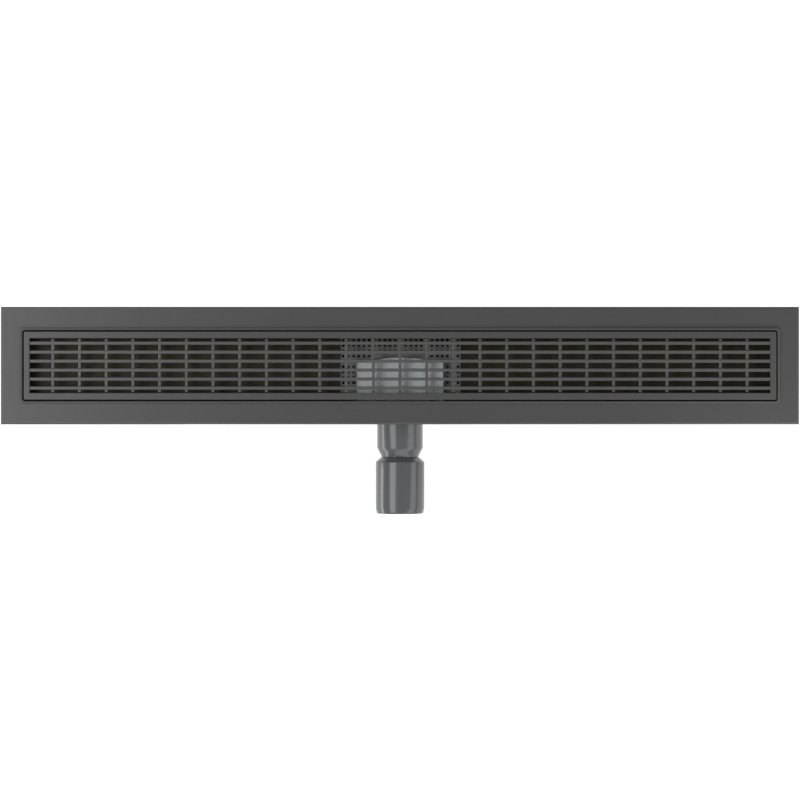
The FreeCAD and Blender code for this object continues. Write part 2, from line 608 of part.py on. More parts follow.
def make_trap_insert():
    """A one-piece moulding: cover with nose and finger lip, bell, weir chamber and nozzle."""
    body = new_body("trap_insert")
    side = new_sketch(body, "YZ_Plane", "insert_side")
    outline(side, [
        ("insert_back", "-insert_top"), ("-cover_front", "-insert_top"),
        ("-cover_front", "-insert_top - cover_height"), (f"-{INSERT_FRONT}", "-insert_top - cover_height"),
        (f"-{INSERT_FRONT}", "-cavity_depth"), ("insert_back", "-cavity_depth"),
    ])
    pad(body, side, "insert", "insert_length", symmetric=True)
    lip = new_sketch(body, "XY_Plane", "lip_outline", rise="-insert_top")
    bowed_tab(lip, "lip_width / 2", "insert_back - insert_wall", "insert_back + lip_reach", "lip_bow")
    pad(body, lip, "finger_lip", "lip_height")
    foot_line = number(f"-{INSERT_FRONT}")
    round_edges(body, "foot_rounding", "insert_foot_round", lambda low, high: (
        at_level("-cavity_depth")(low, high) and near(low.y, foot_line) and near(high.y, foot_line)))

    chamber_front = f"-{INSERT_FRONT} + insert_wall"
    weir_front, weir_back = "-weir_back - weir_wall", "-weir_back"
    chamber_floor, ceiling = "-cavity_depth + insert_wall", "-insert_top - insert_wall"
    inside_back, through_back = "insert_back - insert_wall", "insert_back + lip_reach"
    below, inlet_top = "-cavity_depth - insert_wall", "-cavity_depth + inlet_height"
    space = new_sketch(body, "YZ_Plane", "water_way")
    outline(space, [
        (chamber_front, ceiling), (chamber_front, chamber_floor), (weir_front, chamber_floor),
        (weir_front, "-weir_top"), (weir_back, "-weir_top"), (weir_back, below),
        (through_back, below), (through_back, inlet_top), (inside_back, inlet_top), (inside_back, ceiling),
    ])
    pocket(body, space, "water_space", "insert_length - 2 * insert_wall", symmetric=True)
    round_edges(body, "cover_rounding", "insert_round", at_level("-insert_top"))

    nozzle = new_sketch(body, "YZ_Plane", "nozzle_section", slide="-outlet_axis")
    tip = f"-{INSERT_FRONT} - nozzle_length"
    groove_start = f"-{INSERT_FRONT} - nozzle_length / 2 + ring_section"
    groove_end = f"-{INSERT_FRONT} - nozzle_length / 2 - ring_section"
    groove_floor = "tube_bore / 2 - ring_section - seal_gap"
    outline(nozzle, [
        (f"-{INSERT_FRONT} + insert_wall / 2", "nozzle_bore / 2 + insert_wall / 4"),
        (f"-{INSERT_FRONT} + insert_wall / 2", "nozzle_outside / 2"),
        (groove_start, "nozzle_outside / 2"), (groove_start, groove_floor),
        (groove_end, groove_floor), (groove_end, "nozzle_outside / 2"),
        (tip, "nozzle_outside / 2"), (tip, "nozzle_bore / 2 + insert_wall / 4"),
    ])
    turn(body, nozzle, "nozzle")
    bore = new_sketch(body, "YZ_Plane", "nozzle_bore_section", slide="-outlet_axis")
    outline(bore, [
        (f"-{INSERT_FRONT} + insert_wall * 1.5", "0"),
        (f"-{INSERT_FRONT} + insert_wall * 1.5", "nozzle_bore / 2"),
        (f"{tip} - ring_section", "nozzle_bore / 2"), (f"{tip} - ring_section", "0"),
    ])
    turn(body, bore, "nozzle_way", "PartDesign::Groove")


def make_seal(node, start, length, inner, outer):
    """A rubber ring about the outlet's axis."""
    body = new_body(node)
    section = new_sketch(body, "YZ_Plane", "seal_section")
    end = f"{start} - {length}"
    outline(section, [(start, inner), (start, outer), (end, outer), (end, inner)])
    turn(body, section, "seal")
    place(body, z="-outlet_axis")


def make_insert_seal():
    """The ring in the nozzle's groove that seals it in the outlet tube."""
    start = f"(-{INSERT_FRONT} - nozzle_length / 2 + ring_section / 2)"
    outer = "(tube_bore / 2 - seal_gap / 2)"
    make_seal("insert_seal", start, "ring_section", f"{outer} - ring_section", outer)


# ---- trap housing and outlet -------------------------------------------------------------


def stud_places():
    """The four studs' middles as pairs of formulas."""
    return [(f"{end}stud_spacing_long / 2", f"{side}stud_spacing_cross / 2")
            for end in ("-", "") for side in ("-", "")]


def make_trap_gasket():
    body = new_body("trap_gasket")
    ring = new_sketch(body, "XY_Plane", "gasket_outline", rise=FLOOR_UNDERSIDE)
    rounded_rectangle(ring, "rim_length", "rim_width", "rim_corner")
    rounded_rectangle(ring, "sump_length + 2 * gasket_window_gap", "sump_width + 2 * gasket_window_gap",
                      "sump_corner")
    for x, y in stud_places():
        circle(ring, "stud_hole", x, y)
    pad(body, ring, "gasket", "gasket_thickness")


def make_trap_body():
    """The housing: clamping rim, deep pot, end ribs, and the outlet tube drawn down to a neck."""
    body = new_body("trap_body")
    rim = new_sketch(body, "XY_Plane", "rim_outline", rise=RIM_TOP)
    rounded_rectangle(rim, "rim_length", "rim_width", "rim_corner")
    pad(body, rim, "rim", "rim_thickness")
    pot = new_sketch(body, "XY_Plane", "pot_outline", rise=RIM_TOP)
    rounded_rectangle(pot, "cavity_length + 2 * housing_wall", "cavity_width + 2 * housing_wall",
                      "cavity_corner + housing_wall")
    pad(body, pot, "pot", f"cavity_depth + housing_wall + {RIM_TOP}")
    round_edges(body, "pot_rounding", "cavity_round + housing_wall", at_level("-cavity_depth - housing_wall"))

    tube = new_sketch(body, "YZ_Plane", "tube_section", slide="-outlet_axis")
    root = "-cavity_width / 2 - housing_wall / 2"
    tip = f"-{NECK_START} - neck_length"
    outline(tube, [
        (root, "0"), (root, "tube_outside / 2"), ("-cone_start", "tube_outside / 2"),
        (f"-{NECK_START}", "neck_outside / 2"), (tip, "neck_outside / 2"), (tip, "0"),
    ])
    turn(body, tube, "outlet_tube")
    for end in ("-", ""):
        for side in ("-", ""):
            make_rib(body, end, side)

    cavity = new_sketch(body, "XY_Plane", "cavity_outline", rise=RIM_TOP)
    rounded_rectangle(cavity, "cavity_length", "cavity_width", "cavity_corner")
    pocket(body, cavity, "cavity", f"cavity_depth + {RIM_TOP}")
    round_edges(body, "cavity_rounding", "cavity_round", at_level("-cavity_depth"))
    bore = new_sketch(body, "YZ_Plane", "bore_section", slide="-outlet_axis")
    mouth = "-cavity_width / 2 + housing_wall"
    outline(bore, [
        (mouth, "0"), (mouth, "tube_bore / 2"), ("-cone_start", "tube_bore / 2"),
        (f"-{NECK_START}", "neck_bore / 2"), (f"{tip} - housing_wall", "neck_bore / 2"),
        (f"{tip} - housing_wall", "0"),
    ])
    turn(body, bore, "outlet_way", "PartDesign::Groove")
    holes = new_sketch(body, "XY_Plane", "stud_hole_outline", rise=RIM_TOP)
    for x, y in stud_places():
        circle(holes, "stud_hole", x, y)
    pocket(body, holes, "stud_holes", "2 * rim_thickness")


def make_rib(body, end, side):
    """One gusset between the clamping rim and an end wall of the pot."""
    name = f"rib_{'left' if end else 'right'}_{'front' if side else 'back'}"
    wall = "cavity_length / 2 + housing_wall / 2"
    sketch = new_sketch(body, "XZ_Plane", f"{name}_side", rise=f"{side or '+'}rib_spacing / 2".lstrip("+"))
    outline(sketch, [
        (f"{end}({wall})", f"{RIM_UNDERSIDE} + rim_thickness / 2"),
        (f"{end}({wall} + rib_reach)", f"{RIM_UNDERSIDE} + rim_thickness / 2"),
        (f"{end}({wall} + rib_reach)", RIM_UNDERSIDE),
        (f"{end}({wall})", f"{RIM_UNDERSIDE} - rib_drop"),
    ])
    pad(body, sketch, name, "rib_thickness", symmetric=True)


def make_outlet_spigot():
    """The adaptor over the neck: sloping shoulder, full DN 50 barrel, chamfered end, stepped bore."""
    body = new_body("outlet_spigot")
    start = f"-{NECK_START}"
    end = f"({start} - spigot_length)"
    socket = "neck_outside / 2 + socket_clearance"
    groove = f"({start} - shoulder_length - seal_length / 2)"
    stop = f"({start} - neck_length - 2 * socket_clearance)"
    slope_end = f"({stop} - (spigot_bore - neck_outside) / 2)"
    section = new_sketch(body, "YZ_Plane", "spigot_section")
    outline(section, [
        (start, socket), (start, f"{socket} + spigot_lip"),
        (f"{start} - shoulder_length", "spigot_outside / 2"),
        (f"{end} + chamfer_length", "spigot_outside / 2"), (end, "spigot_outside / 2 - spigot_chamfer"),
        (end, "spigot_bore / 2"), (slope_end, "spigot_bore / 2"), (stop, socket),
        (f"{groove} - seal_length", socket), (f"{groove} - seal_length", f"{socket} + seal_depth"),
        (groove, f"{socket} + seal_depth"), (groove, socket),
    ])
    turn(body, section, "spigot")
    place(body, z="-outlet_axis")


def make_outlet_seal():
    """The ring between the neck and the spigot."""
    start = f"(-{NECK_START} - shoulder_length - seal_length / 2 - seal_gap)"
    outer = "neck_outside / 2 + socket_clearance + seal_depth - seal_gap"
    make_seal("outlet_seal", start, "(seal_length - 2 * seal_gap)", "neck_outside / 2 + seal_gap / 2", outer)


BRACKET_STATION = "(channel_length / 2 - bracket_inset)"
BRACKET_TOP = f"(-{floor_depth(BRACKET_STATION + ' - bracket_width / 2')} - sheet_wall)"
COLLAR_BORE = "foot_thread + 2 * thread_clearance"
STUD_BORE = "stud_thread + 2 * thread_clearance"


# ---- fasteners and feet ------------------------------------------------------------------


def group(node, members):
    """Like fasteners kept together as one sub-part."""
    compound = keep(document.addObject("Part::Compound", node), node)
    compound.Links = members
    return compound


def make_cylinder(name, diameter, height, x, y, z):
    cylinder = document.addObject("Part::Cylinder", name)
    bind(cylinder, {"Radius": f"({diameter}) / 2", "Height": height})
    place(cylinder, x, y, z)
    return cylinder


def make_nut(name, across, height, bore, x, y, z, collar=None):
    """A hexagon nut with its lower face at z, and a round collar (diameter, height) at its top."""
    nut = document.addObject("Part::Prism", f"{name}_hexagon")
    nut.Polygon = 6
    bind(nut, {"Circumradius": f"{across} / 2 / cos(30 deg)", "Height": height})
    place(nut, x, y, z)
    if collar:
        hexagon, (diameter, thickness) = nut, collar
        nut = document.addObject("Part::Fuse", f"{name}_solid")
        nut.Base = hexagon
        nut.Tool = make_cylinder(f"{name}_collar", diameter, thickness, x, y, f"{z} + {height} - {thickness}")
    drilled = document.addObject("Part::Cut", name)
    drilled.Base = nut
    drilled.Tool = make_cylinder(f"{name}_bore", bore, f"3 * {height}", x, y, f"{z} - {height}")
    return drilled


def make_trap_studs():
    studs = []
    for index, (x, y) in enumerate(stud_places(), start=1):
        bottom = f"{FLOOR_UNDERSIDE} - stud_length"
        studs.append(make_cylinder(f"weld_stud_{index}", "stud_thread", "stud_length", x, y, bottom))
    group("trap_studs", studs)


def make_trap_nuts():
    """Nuts whose collars bear on the clamping rim from below."""
    nuts = []
    for index, (x, y) in enumerate(stud_places(), start=1):
        nuts.append(make_nut(f"flange_nut_{index}", "nut_across", "nut_height", STUD_BORE, x, y,
                             f"{RIM_UNDERSIDE} - nut_height", ("nut_collar", "nut_collar_height")))
    group("trap_nuts", nuts)


def make_levelling_bracket(node, end):
    """A strap across the trough's underside with a threaded collar under each end."""
    body = new_body(node)
    strap = new_sketch(body, "XY_Plane", "strap_outline", rise=BRACKET_TOP)
    rounded_rectangle(strap, "bracket_width", "bracket_length", "bracket_width / 2 - weld_gap")
    pad(body, strap, "strap", "bracket_sheet")
    collars = new_sketch(body, "XY_Plane", "collar_outline", rise=f"{BRACKET_TOP} - bracket_sheet / 2")
    holes = new_sketch(body, "XY_Plane", "collar_holes", rise=BRACKET_TOP)
    for side in ("-", ""):
        circle(collars, "collar_outside", "0", f"{side}foot_spacing / 2")
        circle(holes, COLLAR_BORE, "0", f"{side}foot_spacing / 2")
    pad(body, collars, "collars", "bracket_sheet / 2 + collar_height")
    pocket(body, holes, "threads", "2 * bracket_sheet + collar_height")
    place(body, x=f"{end}{BRACKET_STATION}")


def foot_places():
    """The four feet's middles as pairs of formulas."""
    return [(f"{end}{BRACKET_STATION}", f"{side}foot_spacing / 2") for end in ("-", "") for side in ("-", "")]


def make_foot(index, x, y):
    """A threaded stud with chamfered ends, standing in a moulded pad."""
    stud = new_body(f"foot_stud_{index}")
    rod = new_sketch(stud, "XY_Plane", "rod_outline", rise="-foot_stud_top")
    circle(rod, "foot_thread")
    pad(stud, rod, "rod", "foot_stud_length")
    bevel_edges(stud, "rod_ends", "stud_chamfer", lambda low, high: near(low.z, high.z))
    place(stud, x, y)

    base = new_body(f"foot_pad_{index}")
    rim = new_sketch(base, "XY_Plane", "rim_outline", rise=FOOT_BASE)
    circle(rim, "pad_outside")
    pad(base, rim, "rim", "pad_flange", up=True)
    bevel_edges(base, "rim_bevel", "pad_bevel", at_level(f"{FOOT_BASE} + pad_flange"))
    boss = new_sketch(base, "XY_Plane", "boss_outline", rise=FOOT_BASE)
    circle(boss, "pad_neck")
    pad(base, boss, "boss", "pad_height", up=True)
    seat = new_sketch(base, "XY_Plane", "seat_outline", rise=f"{FOOT_BASE} + pad_height")
    circle(seat, COLLAR_BORE)
    pocket(base, seat, "seat", "pad_height / 2")
    place(base, x, y)


def make_lock_nuts():
    """Nuts that jam against the collars from below."""
    bottom = f"({BRACKET_TOP} - bracket_sheet - collar_height - lock_nut_height)"
    nuts = []
    for index, (x, y) in enumerate(foot_places(), start=1):
        nuts.append(make_nut(f"lock_nut_{index}", "lock_nut_across", "lock_nut_height", COLLAR_BORE, x, y,
                             bottom))
    group("foot_lock_nuts", nuts)


# ---- the whole drain ---------------------------------------------------------------------


def make_drain():
    make_channel_body()
    make_grate_frame()
    for index in range(round(number(SLAT_COUNT))):
        make_slat(index)
    for index in range(round(number(BAR_COUNT))):
        make_bar(index)
    make_strainer_plate()
    make_trap_insert()
    make_insert_seal()
    make_trap_gasket()
    make_trap_body()
    make_outlet_spigot()
    make_outlet_seal()
    make_trap_studs()
    make_trap_nuts()
    make_levelling_bracket("levelling_bracket_left", "-")
    make_levelling_bracket("levelling_bracket_right", "")
    for index, (x, y) in enumerate(foot_places(), start=1):
        make_foot(index, x, y)
    make_lock_nuts()


def check_document():
    """Stop if any object of the document failed, or any sub-part is not a sound solid."""
    failed = [item.Name for item in document.Objects if {"Invalid", "Error"} & set(item.State)]
    if failed:
        raise RuntimeError(f"failed objects: {failed}")
    for item in nodes:
        if item.Shape.isNull() or not item.Shape.isValid() or not item.Shape.Solids:
            raise RuntimeError(f"{item.Label} is not a sound solid")


make_drain()
document.recompute()
check_document()
os.makedirs("parts", exist_ok=True)
for item in nodes:
    item.Shape.exportStep(f"parts/{item.Label}.step")
print(f"{len(nodes)} sub-parts written")
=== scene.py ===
import math

import bmesh
import bpy
from bpy.props import FloatProperty, FloatVectorProperty, PointerProperty
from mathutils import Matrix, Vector


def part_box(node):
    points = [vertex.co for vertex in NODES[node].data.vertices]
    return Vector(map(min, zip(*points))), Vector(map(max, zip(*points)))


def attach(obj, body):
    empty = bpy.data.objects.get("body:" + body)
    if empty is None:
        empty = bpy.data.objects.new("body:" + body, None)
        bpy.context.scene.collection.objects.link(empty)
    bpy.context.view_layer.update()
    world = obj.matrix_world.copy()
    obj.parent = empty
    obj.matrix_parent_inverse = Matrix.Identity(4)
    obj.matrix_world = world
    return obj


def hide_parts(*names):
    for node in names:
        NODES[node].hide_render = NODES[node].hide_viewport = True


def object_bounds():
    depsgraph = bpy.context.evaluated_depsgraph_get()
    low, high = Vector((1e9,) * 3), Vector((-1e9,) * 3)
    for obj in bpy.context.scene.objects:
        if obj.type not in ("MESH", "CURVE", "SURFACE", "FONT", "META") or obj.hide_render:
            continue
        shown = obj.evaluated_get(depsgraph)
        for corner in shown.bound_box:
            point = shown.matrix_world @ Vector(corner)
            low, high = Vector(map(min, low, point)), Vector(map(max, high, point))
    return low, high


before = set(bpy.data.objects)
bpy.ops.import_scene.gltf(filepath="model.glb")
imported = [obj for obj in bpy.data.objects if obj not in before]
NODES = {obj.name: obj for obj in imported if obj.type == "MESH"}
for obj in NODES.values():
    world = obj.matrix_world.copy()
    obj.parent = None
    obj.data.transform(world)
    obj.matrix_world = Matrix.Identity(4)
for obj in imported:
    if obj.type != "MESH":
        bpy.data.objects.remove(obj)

CAD_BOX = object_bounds()
ROOT = "drain"
FEET = (1, 2, 3, 4)

bl_info = {
    "name": "Shower Channel Drain",
    "version": (1, 0, 0),
    "blender": (4, 5, 0),
    "location": "3D View > Sidebar > Channel Drain",
    "description": "Finishes the pieces of a linear shower channel and sets up its studio",
    "category": "Object",
}


# ---- fixed sizes in metres, and the floor's slope ----------------------------------------

SHEET = 0.0012
FLANGE_AND_RIM = 0.022
TROUGH_HALF_WIDTH = 0.0354
FLAT_FLOOR_HALF = 0.078
FLOOR_SLOPE = 0.0035 / 0.3
LIP_WIDTH = 0.0459
LIP_REACH = 0.0019
LIP_BOW = 0.0015
PLATE_CORNER = 0.0015
CUT_OUT_GAP = 0.0005
CAVITY_HALF_LENGTH = 0.0596
CAVITY_HALF_WIDTH = 0.0282
HOUSING_WALL = 0.003
STUD_RADIUS = 0.0025
STUD_CHAMFER = 0.0004
FOOT_STUD_CHAMFER = 0.001
NUT_ACROSS = 0.008
NUT_COLLAR = (0.0114, 0.0012)
LOCK_NUT_ACROSS = 0.013
THREAD_PLAY = 0.0001
BRACKET_WELD_HALF = 0.031


# ---- what a user may change --------------------------------------------------------------


def length(name, description, millimetres):
    return FloatProperty(name=name, description=description, default=millimetres / 1000, min=0,
                         unit="LENGTH")


def radiance(name, description, default):
    return FloatProperty(name=name, description=f"Radiance of {description}", default=default)


def colour(name, description, *rgb):
    return FloatVectorProperty(name=name, description=description, default=rgb, size=3, min=0, max=1,
                               subtype="COLOR")


class DrainSizes(bpy.types.PropertyGroup):
    edge_break: length("Edge break", "Bevel on the edges of coated sheet", 0.18)
    moulded_edge: length("Moulded edge", "Bevel on the edges of moulded plastic", 0.4)
    bar_rounding: length("Bar rounding", "Rounding along the cross bars", 1.15)
    slat_rounding: length("Slat rounding", "Rounding along the slats", 0.5)
    hole_diameter: length("Strainer hole", "Diameter of a strainer hole", 2.6)
    hole_pitch_long: length("Hole pitch, along", "Hole to hole along the strainer", 5.27)
    hole_pitch_cross: length("Hole pitch, across", "Hole to hole across the strainer", 5.36)
    hole_clearance: length("Hole clearance", "Least distance from a hole's middle to the cut-out", 2.8)
    hole_row_shift: length("Hole row shift", "How far the hole rows lie in front of the plate's middle", 0.9)
    plate_edge: length("Plate edge", "Rounding round the strainer's holes and edges", 0.12)
    foot_thread_pitch: length("Foot thread pitch", "Pitch of the levelling feet's thread", 1.25)
    stud_thread_pitch: length("Stud thread pitch", "Pitch of the weld studs' thread", 0.8)
    weld_radius: length("Weld bead", "Radius of the weld beads under the channel", 1.3)
    coat_grain: length("Coating grain", "Size of the powder coating's texture", 0.5)
    plastic_grain: length("Plastic grain", "Size of the moulded plastic's texture", 0.35)


class DrainColours(bpy.types.PropertyGroup):
    coating: colour("Channel coating", "Powder coat of channel and flange", 0.047, 0.0475, 0.047)
    grate: colour("Grate frame", "Powder coat of the grate's frame", 0.048, 0.0485, 0.0475)
    slats: colour("Slats and bars", "Powder coat of the grate's slats and bars", 0.062, 0.0625, 0.0605)
    # painted shade: the trough's inside is drawn in this darker, olive-brown tone
    trough: colour("Trough", "Dull film inside the trough", 0.037, 0.0325, 0.010)
    strainer: colour("Strainer", "Coat of the strainer plate", 0.24, 0.244, 0.242)
    insert: colour("Insert", "Moulded plastic of the trap insert", 0.84, 0.88, 0.91)
    pipe: colour("Pipe", "Moulded plastic of housing and spigot", 0.075, 0.077, 0.079)
    rubber: colour("Rubber", "Seals and gasket", 0.018, 0.018, 0.019)
    foot: colour("Foot plastic", "Moulded plastic of the foot pads", 0.022, 0.022, 0.024)
    zinc: colour("Zinc", "Plating of studs, nuts and brackets", 0.37, 0.375, 0.37)
    floor: colour("Floor", "Floor of the studio", 0.2, 0.2, 0.2)


class StudioSettings(bpy.types.PropertyGroup):
    camera_height: length("Camera height", "Camera above the rim", 2500)
    camera_lens: FloatProperty(name="Lens", description="Focal length in millimetres", default=112.42)
    camera_offset: length("Camera offset", "Camera in front of the channel's middle", 34.45)
    left_box: radiance("Left softbox", "the large box at the left", 3.65)
    left_fill: radiance("Left fill", "the panel above the left end", 0.35)
    left_strip: radiance("Left strip", "the low strip in front, left of the outlet", 3.6)
    right_box: radiance("Right softbox", "the box at the right", 1.7)
    front_box: radiance("Front softbox", "the wide box in front", 1.5)
    corner_box: radiance("Corner box", "the small box by the front right corner", 9.5)
    sky: radiance("Sky", "the room above", 0.46)
    floor_glow: radiance("Floor glow", "the floor by itself", 1.03)
    floor_drop: length("Floor drop", "Floor below the feet at rest, clear of a foot screwed right out", 14.5)


def sizes():
    return bpy.context.scene.drain_sizes


def colours():
    return bpy.context.scene.drain_colours


# ---- shader maths ------------------------------------------------------------------------


class Term:
    """A socket that can stand in a formula: each operator adds its Math node to the finish."""

    def __init__(self, finish, socket):
        self.finish = finish
        self.socket = socket

    def math(self, operation, *values):
        return self.finish.node("ShaderNodeMath", {"operation": operation}, dict(enumerate(values)))

    def __add__(self, other):
        return self.math("ADD", self, other)

    def __sub__(self, other):
        return self.math("SUBTRACT", self, other)

    def __rsub__(self, other):
        return self.math("SUBTRACT", other, self)

    def __mul__(self, other):
        return self.math("MULTIPLY", self, other)

    def __lt__(self, other):
        return self.math("LESS_THAN", self, other)

    def __gt__(self, other):
        return self.math("GREATER_THAN", self, other)

    def __abs__(self):
        return self.math("ABSOLUTE", self)

    __radd__ = __add__
    __rmul__ = __mul__


class Finish:
    """A procedural material, built on the places of the part's own points."""

    def __init__(self, name):
        self.material = bpy.data.materials.new(name)
        self.material.use_nodes = True
        self.tree = self.material.node_tree
        self.tree.nodes.clear()
        self.place = self.node("ShaderNodeTexCoord", output="Object")

    def node(self, kind, settings=None, inputs=None, output=0):
        """Add a node, its settings first and its sockets' values or links after, and give an output."""
        node = self.tree.nodes.new(kind)
        for name, value in (settings or {}).items():
            if name == "stops":
                self.set_stops(node.color_ramp, value)
            else:
                setattr(node, name, value)
        for name, value in (inputs or {}).items():
            if isinstance(value, Term):
                self.tree.links.new(value.socket, node.inputs[name])
            else:
                node.inputs[name].default_value = value
        return Term(self, node.outputs[output]) if node.outputs else None

    def set_stops(self, ramp, stops):
        while len(ramp.elements) < len(stops):
            ramp.elements.new(1.0)
        for element, (position, level) in zip(ramp.elements, stops):
            element.position = position
            element.color = (level, level, level, 1)

    def noise(self, grain, detail=2.0, stretch=(1, 1, 1), seed=0.0):
        """Noise with features about one grain wide, from 0 to 1; stretch draws it out along an axis."""
        scale = tuple(1 / share for share in stretch)
        where = self.node("ShaderNodeMapping", None,
                          {"Vector": self.place, "Location": (seed, seed, seed), "Scale": scale})
        return self.node("ShaderNodeTexNoise", None,
                         {"Vector": where, "Scale": 1 / grain, "Detail": detail})

    def axis(self, name):
        """One coordinate of the point, in metres."""
        return self.node("ShaderNodeSeparateXYZ", None, {"Vector": self.place}, name)

    def within(self, low, high):
        """1 at points in a box that stands evenly about the middle along X and Y, 0 outside it."""
        level = abs(self.axis("Z") - (low.z + high.z) / 2) < (high.z - low.z) / 2
        return (abs(self.axis("X")) < high.x) * (abs(self.axis("Y")) < high.y) * level

    def ramp(self, value, *stops):
        return self.node("ShaderNodeValToRGB", {"stops": stops}, {"Fac": value})

    def mix(self, factor, first, second):
        """A colour between two colours."""
        first = first if isinstance(first, Term) else (*first, 1)
        second = second if isinstance(second, Term) else (*second, 1)
        return self.node("ShaderNodeMix", {"data_type": "RGBA"},
                         {"Factor": factor, 6: first, 7: second}, 2)

    def mottle(self, factor, rgb, spread):
        """A colour that wanders by a share of itself to either side."""
        return self.mix(factor, shade(rgb, 1 - spread), shade(rgb, 1 + spread))

    def bump(self, height, depth):
        return self.node("ShaderNodeBump", None, {"Height": height, "Distance": depth, "Strength": 1.0})

    def surface(self, **inputs):
        """Close the material with a Principled shader; names are its sockets', with _ for spaces."""
        named = {name.replace("_", " "): value for name, value in inputs.items()}
        for name, value in named.items():
            if name.endswith("Color") and not isinstance(value, Term):
                named[name] = (*value, 1)
        shader = self.node("ShaderNodeBsdfPrincipled", None, named)
        self.node("ShaderNodeOutputMaterial", None, {"Surface": shader})
        return self.material


def shade(rgb, factor):
    return tuple(min(1.0, channel * factor) for channel in rgb)


def powder_coat(name, rgb, roughness=0.36, painted_shade_rgb=None, painted_shade_mask=None):
    """Baked powder: a fine orange peel, slight clouding, and where a mask from 0 to 1 asks it, painted shade
    in a darker, olive-brown tone.
    """
    finish = Finish(name)
    grain = sizes().coat_grain
    peel = finish.noise(grain, 3.0)
    speck = finish.noise(grain / 4, 1.0, seed=3.1)
    cloud = finish.noise(0.09, 3.0, seed=7.7)
    base = finish.mottle(cloud, rgb, 0.06)
    gloss = roughness + (cloud - 0.5) * 0.05 + (speck - 0.5) * 0.06
    # painted shade: where the mask asks, the coat gives way to a darker, olive-brown tone, mottled a little
    # at random
    if painted_shade_mask is not None:
        amount = painted_shade_mask(finish)
        painted_shade_mottle = finish.noise(0.012, 4.0, stretch=(6, 1, 1), seed=1.3)
        base = finish.mix(amount, base, finish.mottle(painted_shade_mottle, painted_shade_rgb, 0.06))
        gloss = gloss + amount * 0.25
    normal = finish.bump(peel + speck * 0.35, grain * 0.05)
    return finish.surface(Base_Color=base, Roughness=gloss, Normal=normal, IOR=1.5)


def moulded_plastic(name, rgb, roughness, parting=None, painted_shade_box=None):
    """Injection moulding: spark-eroded grain, faint flow clouding, a parting seam, and painted shade
    darkening the inside of a given box.
    """
    finish = Finish(name)
    grain = sizes().plastic_grain
    skin = finish.noise(grain, 2.0)
    flow = finish.noise(0.03, 2.0, stretch=(1, 3, 1), seed=5.3)
    base = finish.mottle(flow, rgb, 0.035)
    height = skin
    if parting is not None:
        seam_half, seam_rise = 0.00016, 2.5
        height = height + (abs(finish.axis("Z") - parting) < seam_half) * seam_rise
    if painted_shade_box is not None:
        # painted shade: inside the box the plastic is drawn at 12 % of its colour, to darken the cavity
        painted_shade = shade(rgb, 0.12)
        base = finish.mix(finish.within(*painted_shade_box), base, painted_shade)
    gloss = roughness + (flow - 0.5) * 0.05 + (skin - 0.5) * 0.05
    normal = finish.bump(height, grain * 0.02)
    return finish.surface(Base_Color=base, Roughness=gloss, Normal=normal, IOR=1.5)


def rubber(name, rgb):
    """Matt seal rubber with a dusty bloom."""
    finish = Finish(name)
    grain = finish.noise(0.0004, 3.0)
    bloom = finish.noise(0.008, 3.0, seed=2.2)
    base = finish.mix(finish.ramp(bloom, (0.45, 0.0), (0.8, 1.0)), rgb, shade(rgb, 2.2))
    normal = finish.bump(grain, 0.00002)
    return finish.surface(Base_Color=base, Roughness=0.62 + bloom * 0.2, Normal=normal)


def zinc_plate(name, rgb):
    """Bright zinc plating: soft spangles, drawing lines and a faint warm tarnish."""
    finish = Finish(name)
    spangles_per_metre = 260.0
    spangle = finish.node("ShaderNodeTexVoronoi", {"feature": "F1"},
                          {"Vector": finish.place, "Scale": spangles_per_metre}, "Color")
    level = finish.node("ShaderNodeRGBToBW", None, {"Color": spangle})
    tarnish = finish.noise(0.006, 4.0, seed=4.4)
    lines = finish.noise(0.0003, 2.0, stretch=(1, 1, 12), seed=9.1)
    clean = finish.mix(level, shade(rgb, 0.9), shade(rgb, 1.08))
    warm = shade((0.72, 0.63, 0.46), sum(rgb) / 3)
    base = finish.mix(finish.ramp(tarnish, (0.5, 0.0), (0.85, 0.55)), clean, warm)
    gloss = 0.27 + level * 0.12 + tarnish * 0.12
    normal = finish.bump(lines, 0.000012)
    return finish.surface(Base_Color=base, Roughness=gloss, Metallic=1.0, Normal=normal)


# ---- meshes ------------------------------------------------------------------------------


def centre(node):
    low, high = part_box(node)
    return (low + high) / 2


def new_piece(name, mesh, material, body=ROOT):
    """A new object that rides with a body and takes its finish from a slot."""
    piece = bpy.data.objects.new(name, mesh)
    bpy.context.scene.collection.objects.link(piece)
    piece.data.materials.append(material)
    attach(piece, body)
    return piece


def angles(count):
    """Angles spread evenly over a full turn."""
    return [2 * math.pi * i / count for i in range(count)]


def ring(middle, z, radius_at, count):
    """A level ring of points round a middle, its radius given as a function of the angle."""
    points = []
    for angle in angles(count):
        radius = radius_at(angle)
        x = middle.x + radius * math.cos(angle)
        points.append(Vector((x, middle.y + radius * math.sin(angle), z)))
    return points


def add_skin(mesh, rings, closed):
    """Faces between rings of points; the last ring meets the first, or both ends get a cap."""
    loops = [[mesh.verts.new(point) for point in points] for points in rings]
    pairs = list(zip(loops, loops[1:]))
    if closed:
        pairs.append((loops[-1], loops[0]))
    for lower, upper in pairs:
        for i in range(len(lower)):
            j = (i + 1) % len(lower)
            mesh.faces.new((lower[i], lower[j], upper[j], upper[i]))
    if not closed:
        mesh.faces.new(reversed(loops[0]))
        mesh.faces.new(loops[-1])


def mesh_from(name, skins):
    """A smooth mesh with crisp edges from a list of (rings, closed)."""
    build = bmesh.new()
    for rings, closed in skins:
        add_skin(build, rings, closed)
    bmesh.ops.recalc_face_normals(build, faces=build.faces)
    data = bpy.data.meshes.new(name)
    build.to_mesh(data)
    build.free()
    data.shade_smooth()
    data.set_sharp_from_angle(angle=math.radians(35))
    return data


